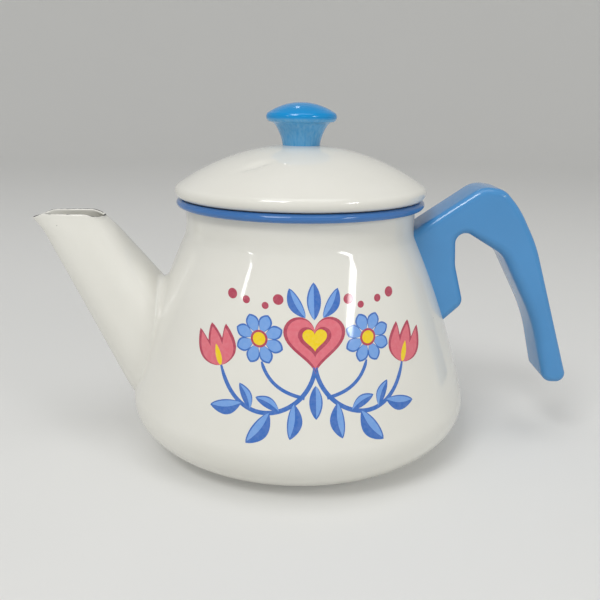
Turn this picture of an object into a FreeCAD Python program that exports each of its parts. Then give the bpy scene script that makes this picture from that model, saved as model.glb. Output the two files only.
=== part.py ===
"""Enamelled steel kettle with a straight tapered spout, a lift-off lid and a moulded side handle.

Millimetres, +Z up. The origin is the centre of the foot ring on the table, the handle points to +X
and the spout to -X. Each node is written to parts/NODE.step.
"""

import math
import os

import FreeCAD
import Part
from FreeCAD import Vector

# Sheet and fits
WALL = 1.2                   # enamelled sheet with both coats
SEAT_GAP = 0.3               # lid rim above the mouth rim
SKIRT_CLEARANCE = 0.9        # lid skirt inside the neck, all round
POCKET_CLEARANCE = 0.2       # bracket inside the handle
THREAD_CLEARANCE = 0.05
BOLT_CLEARANCE = 0.3         # plain hole around a screw

# Pot
BELLY_RADIUS = 88.5
BELLY_CORNER_RADIUS = 19.0
BASE_CORNER_RADIUS = 37.6
BASE_CORNER_TURN = 53.0      # degrees of the base corner before the tighter belly corner
WALL_BULGE_RADIUS = 486.0
SHOULDER_RADIUS = 15.3
NECK_RADIUS = 59.0
NECK_FOOT_HEIGHT = 117.6     # where the shoulder turns upright
NECK_LENGTH = 9.2
DISH_DEPTH = 1.0             # pressed-up middle of the base
DISH_STEP = 3.0
FOOT_RING_WIDTH = 6.0

# Mouth rim, a bead rolled outwards
RIM_OVERHANG = 4.7           # beyond the neck
RIM_HALF_HEIGHT = 2.2

# Spout, a taper through four full-sided sections
SPOUT_MOUTH_DROP = 5.5       # back of the mouth below the top of the neck
SPOUT_MOUTH_REACH = 50.0     # lip tip beyond the belly, before the flare
SPOUT_MOUTH_LENGTH = 36.6
SPOUT_MOUTH_WIDTH = 22.0
SPOUT_THROAT_DROP = 10.0     # from the mouth to where the pouring lip starts to flare
SPOUT_LIP_FLARE = 1.8
SPOUT_LIP_DROP = 1.4         # tip below the back of the mouth
SPOUT_LIP_PINCH = 0.25
SPOUT_UNDER_SLOPE = 0.525    # X run for each Z of fall along the underside
SPOUT_TOP_SLOPE = 0.82
SPOUT_SIDE_TAPER = 0.23      # half-width gained for each mm down the axis
SPOUT_FULLNESS = 2.4         # 2 is an ellipse, more has flatter sides
SPOUT_HEEL_RISE = 6.6        # where the underside turns in, above the belly's widest line
SPOUT_HEEL_BACK = 34.3       # top of that section below the mouth
SPOUT_ROOT_FALL = 8.4        # end of the underside below the belly's widest line
SPOUT_ROOT_BACK = 48.7       # top of the end below the mouth
SPOUT_ROOT_SINK = 6.0        # end of the underside inside the belly
SPOUT_SECTION_STEPS = 24

# Strainer holes behind the spout
STRAINER_RADIUS = 1.9
STRAINER_PITCH = 8.0
STRAINER_MARGIN = 8.0        # from the edge of the spout's foot

# Lid
LID_OVERHANG = 0.7           # beyond the mouth rim
LID_EDGE_RADIUS = 3.6
LID_DOME_RADIUS = 109.4
SKIRT_THICKNESS = 1.0
SKIRT_DEPTH = 8.5            # below the top of the mouth rim
SKIRT_RISE = 3.0             # above the lid's flange

# Knob, from its foot on the lid upwards
KNOB_FOOT_RADIUS = 9.5
KNOB_NECK_SPREAD = 3.4       # neck beyond the foot
KNOB_NECK_HEIGHT = 9.0
KNOB_NECK_HOLLOW = 0.6
KNOB_BRIM_SPREAD = 5.0       # brim beyond the neck
KNOB_FLARE_RISE = 2.3
KNOB_BRIM_THICKNESS = 4.2
KNOB_BRIM_UNDERCUT = 1.3
KNOB_BRIM_EASE = 0.6
KNOB_CROWN_RISE = 5.3

# Fasteners, M4
SCREW_RADIUS = 2.0
SCREW_HEAD_RADIUS = 3.5
SCREW_HEAD_HEIGHT = 2.6
SCREW_SLOT_WIDTH = 1.0
SCREW_SLOT_DEPTH = 1.2
WASHER_THICKNESS = 1.0
KNOB_WASHER_RADIUS = 7.0
KNOB_GASKET_RADIUS = 7.5
KNOB_GASKET_THICKNESS = 1.3
INSERT_RADIUS = 3.4
INSERT_LENGTH = 10.0
INSERT_COVER = 2.0           # knob material below the insert
INSERT_END_GAP = 1.0         # screw end below the top of the insert

# Handle moulding, with outline corners as X out and Z up from the seat point on the wall
HANDLE_SEAT_DROP = 29.6      # seat point below the foot of the neck
HANDLE_WIDTH = 30.0
HANDLE_EDGE_RADIUS = 4.5
HANDLE_SINK = 20.0           # outline carried into the wall before it is shaped to it
CORNER_SHARE = 0.48          # most of a side that the rounding of one corner takes
EDGE_SHARE = 0.85            # most of a corner's rounding that the edge rounding takes
EDGE_DEPTH_SHARE = 0.36      # most of the grip's thickness that the edge rounding takes
ARM_SLOPE = 0.687            # rise of the arm's top for each mm out
ARCH_PEAK_OUT = 21.4
ARCH_PEAK_UP = 51.2
ARCH_PEAK_TURN = 20.0
ARCH_SHOULDER_OUT = 32.7
ARCH_SHOULDER_UP = 49.4
ARCH_SHOULDER_TURN = 9.5
BACK_HIGH_OUT = 41.2
BACK_HIGH_UP = 39.8
BACK_HIGH_TURN = 50.0
BACK_LOW_OUT = 50.9
BACK_LOW_UP = 21.4
BACK_LOW_TURN = 80.0
TIP_OUT = 73.7
TIP_DOWN = 52.3
TIP_THICKNESS = 12.8
TIP_TURN = 5.5
PALM_OUT = 52.2
PALM_DOWN = 18.4
PALM_TURN = 100.0
BEND_OUT = 34.1
BEND_UP = 16.1
BEND_TURN = 14.0
GAP_TOP_OUT = 9.0
GAP_TOP_UP = 31.3
GAP_TOP_TURN = 5.0
LEG_WAIST_OUT = 10.0
LEG_WAIST_UP = 10.5
LEG_WAIST_TURN = 20.0
LEG_TOE_OUT = 15.2
LEG_TOE_DOWN = 9.5
LEG_TOE_TURN = 5.5
LEG_TOE_SLOPE = 0.954        # fall of the toe's end face for each mm towards the wall

# Handle bracket
BRACKET_LENGTH = 23.0
BRACKET_SHEET = 2.0
BRACKET_TAB = 2.5
BRACKET_SIDE_COVER = 8.0     # handle material on each side
BRACKET_FRONT_COVER = 2.9    # handle material in front
HOOK_LENGTH = 9.0
HOOK_ENTRY = 6.5             # the handle goes on this far below its place
SCREW_RECESS = 1.5           # screw head above the toe
SCREW_GRIP = 4.0             # handle material clamped between washer and tab
SCREW_OVERRUN = 2.0          # screw end past the tab


def edge_line(start, end):
    return Part.LineSegment(start, end).toShape()


def edge_arc(start, through, end):
    return Part.Arc(start, through, end).toShape()


def point(radius, height):
    return Vector(radius, 0, height)


def around(centre, radius, angle):
    """The point of a circle in the XZ plane at an angle from +X."""
    return centre + Vector(math.cos(angle), 0, math.sin(angle)) * radius


def turned(edges):
    """A closed outline in the XZ plane, turned about Z."""
    face = Part.Face(Part.Wire(Part.__sortEdges__(edges)))
    return face.revolve(Vector(0, 0, 0), Vector(0, 0, 1), 360)


def ring(inner, outer, low, high):
    """A plain ring or, with no inner radius, a disc about Z."""
    disc = Part.makeCylinder(outer, high - low, Vector(0, 0, low))
    if inner == 0:
        return disc
    return disc.cut(Part.makeCylinder(inner, high - low + 2, Vector(0, 0, low - 1)))


def rounded_outline(corners):
    """Lines and tangent arcs through corners given as (X, Z, corner radius)."""
    count = len(corners)
    turns = []
    for index in range(count):
        x, z, radius = corners[index]
        corner = point(x, z)
        before = (point(*corners[index - 1][:2]) - corner).normalize()
        after = (point(*corners[(index + 1) % count][:2]) - corner).normalize()
        half = before.getAngle(after) / 2
        sides = [(point(*corners[near][:2]) - corner).Length for near in (index - 1, (index + 1) % count)]
        reach = min(radius / math.tan(half), CORNER_SHARE * min(sides))
        radius = reach * math.tan(half)
        inwards = (before + after).normalize()
        middle = corner + inwards * (radius / math.sin(half) - radius)
        turns.append((radius, corner + before * reach, middle, corner + after * reach))
    edges = []
    for index in range(count):
        radius, start, middle, end = turns[index]
        if radius > 0:
            edges.append(edge_arc(start, middle, end))
        edges.append(edge_line(end, turns[(index + 1) % count][1]))
    return Part.Wire(edges)


# The pot's outline: base corner, belly corner, slightly bulged wall and hollow shoulder, all tangent

corner_end = math.radians(BASE_CORNER_TURN - 90)
corner_step = BASE_CORNER_RADIUS - BELLY_CORNER_RADIUS
foot_radius = BELLY_RADIUS - BELLY_CORNER_RADIUS - corner_step * math.cos(corner_end)
base_centre = point(foot_radius, BASE_CORNER_RADIUS)
belly_centre = around(base_centre, corner_step, corner_end)
shoulder_centre = point(NECK_RADIUS + SHOULDER_RADIUS, NECK_FOOT_HEIGHT)
neck_top = NECK_FOOT_HEIGHT + NECK_LENGTH


def bulge_centre():
    """The wall arc's centre, tangent to the belly corner inside it and the shoulder outside it."""
    to_belly = WALL_BULGE_RADIUS - BELLY_CORNER_RADIUS
    to_shoulder = WALL_BULGE_RADIUS + SHOULDER_RADIUS
    across = shoulder_centre - belly_centre
    span = across.Length
    along = (to_belly ** 2 - to_shoulder ** 2 + span ** 2) / (2 * span)
    aside = math.sqrt(to_belly ** 2 - along ** 2)
    unit = across / span
    left = Vector(-unit.z, 0, unit.x)
    return belly_centre + unit * along + left * aside


wall_centre = bulge_centre()
wall_low = math.atan2(belly_centre.z - wall_centre.z, belly_centre.x - wall_centre.x)
wall_high = math.atan2(shoulder_centre.z - wall_centre.z, shoulder_centre.x - wall_centre.x)


def wall_radius(height):
    """Outer radius of the pot's wall at a height between the belly and the shoulder."""
    return wall_centre.x + math.sqrt(WALL_BULGE_RADIUS ** 2 - (height - wall_centre.z) ** 2)


def wall_lean(height):
    """Angle of the wall's outward normal above the horizontal."""
    return math.asin((height - wall_centre.z) / WALL_BULGE_RADIUS)


def pot_outline(inset, top):
    """Edges from the axis to the top of the neck, moved inwards by a sheet thickness."""
    floor = DISH_DEPTH + inset
    dish = foot_radius - FOOT_RING_WIDTH - DISH_STEP
    ring_start = point(foot_radius - FOOT_RING_WIDTH, inset)
    base_end = around(base_centre, BASE_CORNER_RADIUS - inset, corner_end)
    belly_end = around(belly_centre, BELLY_CORNER_RADIUS - inset, wall_low)
    wall_end = around(wall_centre, WALL_BULGE_RADIUS - inset, wall_high)
    neck_foot = point(NECK_RADIUS - inset, NECK_FOOT_HEIGHT)
    hollow = SHOULDER_RADIUS + inset
    base_middle = around(base_centre, BASE_CORNER_RADIUS - inset, (corner_end - math.pi / 2) / 2)
    belly_middle = around(belly_centre, BELLY_CORNER_RADIUS - inset, (corner_end + wall_low) / 2)
    wall_middle = around(wall_centre, WALL_BULGE_RADIUS - inset, (wall_low + wall_high) / 2)
    hollow_middle = around(shoulder_centre, hollow, math.pi + wall_high / 2)
    return [
        edge_line(point(0, floor), point(dish, floor)),
        edge_line(point(dish, floor), ring_start),
        edge_line(ring_start, point(foot_radius, inset)),
        edge_arc(point(foot_radius, inset), base_middle, base_end),
        edge_arc(base_end, belly_middle, belly_end),
        edge_arc(belly_end, wall_middle, wall_end),
        edge_arc(wall_end, hollow_middle, neck_foot),
        edge_line(neck_foot, point(NECK_RADIUS - inset, top)),
    ]


# Spout heights and edges

mouth_back = neck_top - SPOUT_MOUTH_DROP
throat = mouth_back - SPOUT_THROAT_DROP
heel_low = belly_centre.z + SPOUT_HEEL_RISE
heel_top = mouth_back - SPOUT_HEEL_BACK
root_low = belly_centre.z - SPOUT_ROOT_FALL
root_top = mouth_back - SPOUT_ROOT_BACK
foot_middle = (heel_low + root_top) / 2
tip_out = -BELLY_RADIUS - SPOUT_MOUTH_REACH


def spout_under(height):
    """The spout's underside in the XZ plane."""
    return point(tip_out + SPOUT_UNDER_SLOPE * (mouth_back - height), height)


def spout_back(height):
    """The spout's top edge in the XZ plane."""
    return point(tip_out + SPOUT_MOUTH_LENGTH + SPOUT_TOP_SLOPE * (mouth_back - height), height)


def spout_half_width(outer, inner):
    """Half the width of a section, from how far down the axis its middle lies."""
    mouth_middle = (spout_under(mouth_back) + spout_back(mouth_back)) / 2
    return SPOUT_MOUTH_WIDTH / 2 + SPOUT_SIDE_TAPER * ((outer + inner) / 2 - mouth_middle).Length


def pot_block():
    """The pot as a filled block, to shape what sits on its wall."""
    lid_line = edge_line(point(NECK_RADIUS, neck_top), point(0, neck_top))
    axis = edge_line(point(0, neck_top), point(0, DISH_DEPTH))
    return turned(pot_outline(0, neck_top) + [lid_line, axis])


def strainer():
    """Staggered holes through the wall, inside the spout's foot."""
    half_height = (heel_top - heel_low) / 2 - STRAINER_MARGIN
    half_width = spout_half_width(spout_under(heel_low), spout_back(heel_top)) - STRAINER_MARGIN
    row_pitch = STRAINER_PITCH * math.cos(math.radians(30))
    rows = int(half_height / row_pitch)
    columns = int(half_width / STRAINER_PITCH) + 1
    holes = []
    for row in range(-rows, rows + 1):
        for column in range(-columns, columns + 1):
            up = row * row_pitch
            side = (column + 0.5 * (row % 2)) * STRAINER_PITCH
            if (up / half_height) ** 2 + (side / half_width) ** 2 < 1:
                start = Vector(-BELLY_RADIUS, side, foot_middle + up)
                holes.append(Part.makeCylinder(STRAINER_RADIUS, BELLY_RADIUS, start, Vector(1, 0, 0)))
    return Part.makeCompound(holes)


def body_shell():
    inside = pot_outline(WALL, neck_top)
    lip = edge_line(point(NECK_RADIUS, neck_top), point(NECK_RADIUS - WALL, neck_top))
    axis = edge_line(point(0, DISH_DEPTH), point(0, DISH_DEPTH + WALL))
    return turned(pot_outline(0, neck_top) + inside + [lip, axis]).cut(strainer())


# Mouth rim

rim_radius = NECK_RADIUS + RIM_OVERHANG
rim_half_width = (RIM_OVERHANG + WALL) / 2
rim_middle = neck_top + RIM_HALF_HEIGHT
rim_top = rim_middle + RIM_HALF_HEIGHT


def mouth_rim():
    """The bead, rolled over from the top of the neck."""
    bore = NECK_RADIUS - WALL
    centre = point(rim_radius - rim_half_width, rim_middle)
    oval = Part.Ellipse(point(rim_radius, rim_middle), point(centre.x, rim_top), centre)
    meets = math.acos((NECK_RADIUS - centre.x) / rim_half_width)
    bead = Part.ArcOfEllipse(oval, -meets, math.pi).toShape()
    tuck = bead.Vertexes[0].Point
    return turned([
        bead,
        edge_line(tuck, point(NECK_RADIUS, neck_top)),
        edge_line(point(NECK_RADIUS, neck_top), point(bore, neck_top)),
        edge_line(point(bore, neck_top), point(bore, rim_middle)),
    ])


# Spout

def fuller(share):
    """A cosine or sine moved outwards, which turns an ellipse into a superellipse."""
    return math.copysign(abs(share) ** (2 / SPOUT_FULLNESS), share)


def spout_section(outer, inner, half_width, pinch, inset):
    """A closed full egg through two points of the XZ plane, pinched at the outer one."""
    centre = (outer + inner) / 2
    along = outer - centre
    half_length = along.Length - inset
    along.normalize()
    points = []
    for step in range(SPOUT_SECTION_STEPS):
        turn = 2 * math.pi * step / SPOUT_SECTION_STEPS
        length = half_length * fuller(math.cos(turn))
        side = (half_width - inset) * fuller(math.sin(turn)) * (1 - pinch * math.cos(turn))
        points.append(centre + along * length + Vector(0, side, 0))
    curve = Part.BSplineCurve()
    curve.interpolate(points, True)
    return Part.Wire([curve.toShape()])


def spout_body(inset, over):
    """The tapered block of the spout, moved inwards by a sheet thickness and carried over the mouth."""
    root = point(-BELLY_RADIUS + SPOUT_ROOT_SINK, root_low)
    lip = spout_under(mouth_back) - Vector(SPOUT_LIP_FLARE, 0, SPOUT_LIP_DROP - over)
    pairs = [
        (root, spout_back(root_top), 0),
        (spout_under(heel_low), spout_back(heel_top), 0),
        (spout_under(throat), spout_back(throat), SPOUT_LIP_PINCH / 2),
        (lip, spout_back(mouth_back) + Vector(0, 0, over), SPOUT_LIP_PINCH),
    ]
    widths = [spout_half_width(outer, inner) for outer, inner, pinch in pairs]
    widths[-1] = SPOUT_MOUTH_WIDTH / 2
    sections = []
    for (outer, inner, pinch), width in zip(pairs, widths):
        sections.append(spout_section(outer, inner, width, pinch, inset))
    return Part.makeLoft(sections, True, True)


def spout(block):
    """The spout's sheet, ending on the pot's wall. Its sections lean, so it is wider across them."""
    lean = math.sqrt(1 + SPOUT_TOP_SLOPE ** 2)
    return spout_body(0, 0).cut(block).cut(spout_body(WALL * lean, WALL))


# Handle and its bracket, in a frame on the wall: up along the wall, across along Y, and out of the wall

seat_height = NECK_FOOT_HEIGHT - HANDLE_SEAT_DROP
seat = point(wall_radius(seat_height), seat_height)
seat_lean = wall_lean(seat_height)
out_of_wall = Vector(math.cos(seat_lean), 0, math.sin(seat_lean))
up_wall = Vector(-math.sin(seat_lean), 0, math.cos(seat_lean))
leg_waist = point(LEG_WAIST_OUT, LEG_WAIST_UP)
leg_toe = point(LEG_TOE_OUT, -LEG_TOE_DOWN)


def leg_depth():
    """How thick the leg is at the seat point, square to the wall."""
    waist_out, waist_up = leg_waist.dot(out_of_wall), leg_waist.dot(up_wall)
    toe_out, toe_up = leg_toe.dot(out_of_wall), leg_toe.dot(up_wall)
    return waist_out + (toe_out - waist_out) * waist_up / (waist_up - toe_up)


bracket_width = HANDLE_WIDTH - 2 * BRACKET_SIDE_COVER
bracket_depth = leg_depth() - BRACKET_FRONT_COVER
head_top = leg_toe.dot(up_wall) + SCREW_RECESS + SCREW_HEAD_HEIGHT
head_seat = head_top + WASHER_THICKNESS
bracket_low = head_seat + SCREW_GRIP + POCKET_CLEARANCE
bracket_high = bracket_low + BRACKET_LENGTH
screw_foot = seat + out_of_wall * ((BRACKET_SHEET + bracket_depth) / 2)


def wall_block(up_low, up_high, out_low, out_high, width):
    """A block in the frame on the wall."""
    corner = Vector(up_low, -width / 2, out_low)
    block = Part.makeBox(up_high - up_low, width, out_high - out_low, corner)
    frame = FreeCAD.Matrix(
        up_wall.x, 0, out_of_wall.x, seat.x,
        0, 1, 0, 0,
        up_wall.z, 0, out_of_wall.z, seat.z,
        0, 0, 0, 1,
    )
    return block.transformed(frame)


def screw_rod(radius, low, high):
    """A rod along the handle screw's axis."""
    return Part.makeCylinder(radius, high - low, screw_foot + up_wall * low, up_wall)


def handle_bracket(block):
    """Strip welded to the wall, with a tapped tab below and a hook turned down above."""
    tab_top = bracket_low + BRACKET_TAB
    shelf_low = bracket_high - BRACKET_TAB
    hook_low = bracket_high - HOOK_LENGTH
    strip = wall_block(bracket_low, bracket_high, -HANDLE_SINK, BRACKET_SHEET, bracket_width).fuse([
        wall_block(bracket_low, tab_top, -HANDLE_SINK, bracket_depth, bracket_width),
        wall_block(shelf_low, bracket_high, -HANDLE_SINK, bracket_depth, bracket_width),
        wall_block(hook_low, bracket_high, bracket_depth - BRACKET_SHEET, bracket_depth, bracket_width),
    ]).removeSplitter()
    thread = screw_rod(SCREW_RADIUS + THREAD_CLEARANCE, bracket_low - 1, tab_top + 1)
    return strip.cut(block).cut(thread)


def bracket_pocket():
    """Room for the bracket in the handle, open to the wall, with a bar left behind the hook."""
    gap = POCKET_CLEARANCE
    width = bracket_width + 2 * gap
    low = bracket_low - gap
    top = bracket_high + gap + HOOK_ENTRY
    deep = bracket_depth + gap
    tab_top = bracket_low + BRACKET_TAB + gap + HOOK_ENTRY
    shelf_low = bracket_high - BRACKET_TAB - gap
    hook_low = bracket_high - HOOK_LENGTH - gap
    hook_back = bracket_depth - BRACKET_SHEET - gap
    return wall_block(low, top, -HANDLE_SINK, BRACKET_SHEET + gap, width).fuse([
        wall_block(low, tab_top, -HANDLE_SINK, deep, width),
        wall_block(shelf_low, top, -HANDLE_SINK, deep, width),
        wall_block(hook_low, top, hook_back, deep, width),
    ]).removeSplitter()


def handle_outline():
    """Arm, arch, grip and leg, closed inside the wall."""
    arm_root = ARCH_PEAK_UP - ARM_SLOPE * (ARCH_PEAK_OUT + HANDLE_SINK)
    toe_root = -LEG_TOE_DOWN - LEG_TOE_SLOPE * LEG_TOE_OUT
    corners = [
        (-HANDLE_SINK, arm_root, 0),
        (ARCH_PEAK_OUT, ARCH_PEAK_UP, ARCH_PEAK_TURN),
        (ARCH_SHOULDER_OUT, ARCH_SHOULDER_UP, ARCH_SHOULDER_TURN),
        (BACK_HIGH_OUT, BACK_HIGH_UP, BACK_HIGH_TURN),
        (BACK_LOW_OUT, BACK_LOW_UP, BACK_LOW_TURN),
        (TIP_OUT, -TIP_DOWN, TIP_TURN),
        (TIP_OUT - TIP_THICKNESS, -TIP_DOWN, TIP_TURN),
        (PALM_OUT, -PALM_DOWN, PALM_TURN),
        (BEND_OUT, BEND_UP, BEND_TURN),
        (GAP_TOP_OUT, GAP_TOP_UP, GAP_TOP_TURN),
        (LEG_WAIST_OUT, LEG_WAIST_UP, LEG_WAIST_TURN),
        (LEG_TOE_OUT, -LEG_TOE_DOWN, LEG_TOE_TURN),
        (0, toe_root, 0),
        (-HANDLE_SINK, toe_root + HANDLE_SINK, 0),
    ]
    return rounded_outline([(seat.x + out, seat.z + up, turn) for out, up, turn in corners])


def handle(block):
    """One moulding, rounded along both sides and shaped to the wall."""
    half = Vector(0, HANDLE_WIDTH / 2, 0)
    side = Part.Face(handle_outline())
    side.translate(-half)
    bar = side.extrude(half * 2)
    rims = [edge for edge in bar.Edges if edge.BoundBox.YLength < HANDLE_WIDTH / 2]
    corner_limit = EDGE_SHARE * min(TIP_TURN, LEG_TOE_TURN)
    edge_radius = min(HANDLE_EDGE_RADIUS, corner_limit, EDGE_DEPTH_SHARE * TIP_THICKNESS)
    bar = bar.makeFillet(edge_radius, rims)
    clear = screw_rod(SCREW_RADIUS + BOLT_CLEARANCE, head_seat - 1, bracket_low)
    counterbore = screw_rod(SCREW_HEAD_RADIUS + BOLT_CLEARANCE, head_seat - HANDLE_SINK, head_seat)
    return bar.cut(block).cut(bracket_pocket()).cut(clear).cut(counterbore)


def slotted_screw(start, direction, length):
    """Cheese-head screw whose shank starts under its head at a point and runs along a direction."""
    head = Part.makeCylinder(SCREW_HEAD_RADIUS, SCREW_HEAD_HEIGHT, Vector(0, 0, -SCREW_HEAD_HEIGHT))
    shank = Part.makeCylinder(SCREW_RADIUS, length)
    slot = Part.makeBox(
        SCREW_SLOT_WIDTH, 4 * SCREW_HEAD_RADIUS, SCREW_SLOT_DEPTH + 1,
        Vector(-SCREW_SLOT_WIDTH / 2, -2 * SCREW_HEAD_RADIUS, -SCREW_HEAD_HEIGHT - 1),
    )
    screw = head.fuse(shank).removeSplitter().cut(slot)
    screw.Placement = FreeCAD.Placement(start, FreeCAD.Rotation(Vector(0, 0, 1), direction))
    return screw


def handle_screw():
    length = bracket_low + BRACKET_TAB + SCREW_OVERRUN - head_top
    return slotted_screw(screw_foot + up_wall * head_top, up_wall, length)


def handle_washer():
    hole = screw_rod(SCREW_RADIUS + THREAD_CLEARANCE, head_top - 1, head_seat + 1)
    return screw_rod(SCREW_HEAD_RADIUS, head_top, head_seat).cut(hole)


# Lid

lid_low = rim_top + SEAT_GAP
lid_edge = point(rim_radius + LID_OVERHANG - LID_EDGE_RADIUS, lid_low + LID_EDGE_RADIUS)
dome_reach = LID_DOME_RADIUS - LID_EDGE_RADIUS
dome_centre = point(0, lid_edge.z - math.sqrt(dome_reach ** 2 - lid_edge.x ** 2))
dome_end = math.atan2(lid_edge.z - dome_centre.z, lid_edge.x)
lid_top = dome_centre.z + LID_DOME_RADIUS
skirt_radius = NECK_RADIUS - WALL - SKIRT_CLEARANCE
screw_hole = SCREW_RADIUS + BOLT_CLEARANCE


def lid_sheet(inset):
    """Edges of one face of the lid's sheet, from the screw hole over the edge to the skirt."""
    dome = LID_DOME_RADIUS - inset
    edge = LID_EDGE_RADIUS - inset
    start = math.acos(screw_hole / dome)
    crest = around(dome_centre, dome, start)
    shoulder = around(dome_centre, dome, dome_end)
    under = around(lid_edge, edge, -math.pi / 2)
    return [
        edge_arc(crest, around(dome_centre, dome, (start + dome_end) / 2), shoulder),
        edge_arc(shoulder, around(lid_edge, edge, (dome_end - math.pi / 2) / 2), under),
        edge_line(under, point(skirt_radius, under.z)),
    ], crest, point(skirt_radius, under.z)


def lid_shell():
    outside, outer_crest, outer_end = lid_sheet(0)
    inside, inner_crest, inner_end = lid_sheet(WALL)
    ends = [edge_line(outer_crest, inner_crest), edge_line(outer_end, inner_end)]
    return turned(outside + inside + ends)


def lid_skirt():
    skirt_low = rim_top - SKIRT_DEPTH
    skirt_high = lid_low + WALL + SKIRT_RISE
    return ring(skirt_radius - SKIRT_THICKNESS, skirt_radius, skirt_low, skirt_high)


# Knob

gasket_low = lid_top - WALL - KNOB_GASKET_THICKNESS
washer_low = gasket_low - WASHER_THICKNESS
insert_low = lid_top + INSERT_COVER
insert_high = insert_low + INSERT_LENGTH


def knob():
    """Waisted knob with a thick brim and a low domed top, seated on the lid's dome."""
    foot = lid_top - WALL
    neck_radius = KNOB_FOOT_RADIUS + KNOB_NECK_SPREAD
    brim_radius = neck_radius + KNOB_BRIM_SPREAD
    neck = point(neck_radius, lid_top + KNOB_NECK_HEIGHT)
    waist = point((KNOB_FOOT_RADIUS + neck_radius) / 2 - KNOB_NECK_HOLLOW, (foot + neck.z) / 2)
    under = point(brim_radius - KNOB_BRIM_UNDERCUT, neck.z + KNOB_FLARE_RISE)
    flare = (neck + under) / 2 + Vector(-KNOB_NECK_HOLLOW, 0, KNOB_NECK_HOLLOW / 2)
    brim = point(brim_radius, under.z + KNOB_BRIM_THICKNESS / 2)
    shoulder = point(brim_radius - KNOB_BRIM_EASE, under.z + KNOB_BRIM_THICKNESS)
    crown = point(0, shoulder.z + KNOB_CROWN_RISE)
    cap_radius = (shoulder.x ** 2 + KNOB_CROWN_RISE ** 2) / (2 * KNOB_CROWN_RISE)
    cap_centre = point(0, crown.z - cap_radius)
    cap_middle = around(cap_centre, cap_radius, math.pi / 2 - math.asin(shoulder.x / cap_radius) / 2)
    block = turned([
        edge_line(crown, point(0, foot)),
        edge_line(point(0, foot), point(KNOB_FOOT_RADIUS, foot)),
        edge_arc(point(KNOB_FOOT_RADIUS, foot), waist, neck),
        edge_arc(neck, flare, under),
        edge_arc(under, brim, shoulder),
        edge_arc(shoulder, cap_middle, crown),
    ])
    socket = ring(0, INSERT_RADIUS, insert_low, insert_high)
    clear = ring(0, screw_hole, foot - 1, insert_low + 1)
    dome = Part.makeSphere(LID_DOME_RADIUS, dome_centre)
    return block.cut(dome).cut(socket).cut(clear)


def knob_insert():
    return ring(SCREW_RADIUS + THREAD_CLEARANCE, INSERT_RADIUS, insert_low, insert_high)


def knob_gasket():
    """Rubber disc whose top follows the underside of the dome."""
    disc = ring(screw_hole, KNOB_GASKET_RADIUS, gasket_low, lid_top)
    return disc.common(Part.makeSphere(LID_DOME_RADIUS - WALL, dome_centre))


def knob_washer():
    return ring(screw_hole, KNOB_WASHER_RADIUS, washer_low, gasket_low)


def knob_screw():
    length = insert_high - INSERT_END_GAP - washer_low
    return slotted_screw(point(0, washer_low), Vector(0, 0, 1), length)


def build():
    block = pot_block()
    return {
        "body_shell": body_shell(),
        "mouth_rim": mouth_rim(),
        "spout": spout(block),
        "handle_bracket": handle_bracket(block),
        "handle": handle(block),
        "handle_washer": handle_washer(),
        "handle_screw": handle_screw(),
        "lid_shell": lid_shell(),
        "lid_skirt": lid_skirt(),
        "knob": knob(),
        "knob_insert": knob_insert(),
        "knob_gasket": knob_gasket(),
        "knob_washer": knob_washer(),
        "knob_screw": knob_screw(),
    }


os.makedirs("parts", exist_ok=True)
for node, shape in build().items():
    shape.exportStep("parts/" + node + ".step")
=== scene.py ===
"""Dresses an enamelled kettle: glazed pot, spout and lid, rolled rim, printed spray, knob, handle, studio.

Metres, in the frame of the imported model: +Z up from the centre of the foot ring, the handle to +X and
the spout to -X. The rim and small fittings keep their own solids and get a finish here. The pot, spout, lid,
knob, handle and print are new surfaces.
"""

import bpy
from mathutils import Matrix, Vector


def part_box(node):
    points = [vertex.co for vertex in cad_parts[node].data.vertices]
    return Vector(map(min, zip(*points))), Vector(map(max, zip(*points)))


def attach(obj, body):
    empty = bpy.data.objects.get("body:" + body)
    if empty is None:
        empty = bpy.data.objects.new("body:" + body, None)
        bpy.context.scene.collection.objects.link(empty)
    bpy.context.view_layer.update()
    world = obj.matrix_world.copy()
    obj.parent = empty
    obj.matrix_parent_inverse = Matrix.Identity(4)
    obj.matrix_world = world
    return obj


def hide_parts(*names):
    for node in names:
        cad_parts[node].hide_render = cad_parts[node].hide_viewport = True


bl_info = {
    "name": "Enamelled Kettle",
    "version": (1, 0, 0),
    "blender": (4, 5, 0),
    "location": "3D View > Sidebar > Kettle",
    "description": "Builds the glazed surfaces, printed spray and studio of an enamelled kettle",
    "category": "Add Mesh",
}

from functools import partial
from math import acos, asin, atan2, cos, degrees, pi, radians, sin, sqrt

import bmesh
import bpy
import numpy as np
from bpy.props import FloatProperty, FloatVectorProperty, PointerProperty
from mathutils import Matrix, Vector
from numpy.linalg import norm

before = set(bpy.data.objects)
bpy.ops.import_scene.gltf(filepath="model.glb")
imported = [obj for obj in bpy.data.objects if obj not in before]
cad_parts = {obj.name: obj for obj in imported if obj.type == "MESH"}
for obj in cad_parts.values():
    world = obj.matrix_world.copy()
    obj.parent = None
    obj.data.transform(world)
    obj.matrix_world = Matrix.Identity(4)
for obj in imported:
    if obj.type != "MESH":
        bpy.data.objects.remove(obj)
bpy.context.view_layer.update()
POT_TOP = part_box("body_shell")[1]
LID_LOW, LID_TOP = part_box("lid_shell")
KNOB_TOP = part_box("knob")[1]
SKIRT_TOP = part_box("lid_skirt")[1]
MM = 0.001
SHARP = 35.0  # degrees between faces that leave an edge sharp
WELD = 1e-7  # metres between points that are taken as one


def srgb(code):
    """A six-digit hex colour as linear red, green and blue."""
    share = np.array([int(code[place:place + 2], 16) for place in (0, 2, 4)]) / 255
    linear = np.where(share <= 0.04045, share / 12.92, ((share + 0.055) / 1.055) ** 2.4)
    return tuple(float(part) for part in linear)


def metres(value, description):
    """A length property, its default given in metres."""
    return FloatProperty(description=description, default=value, unit="LENGTH", precision=5)


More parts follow.
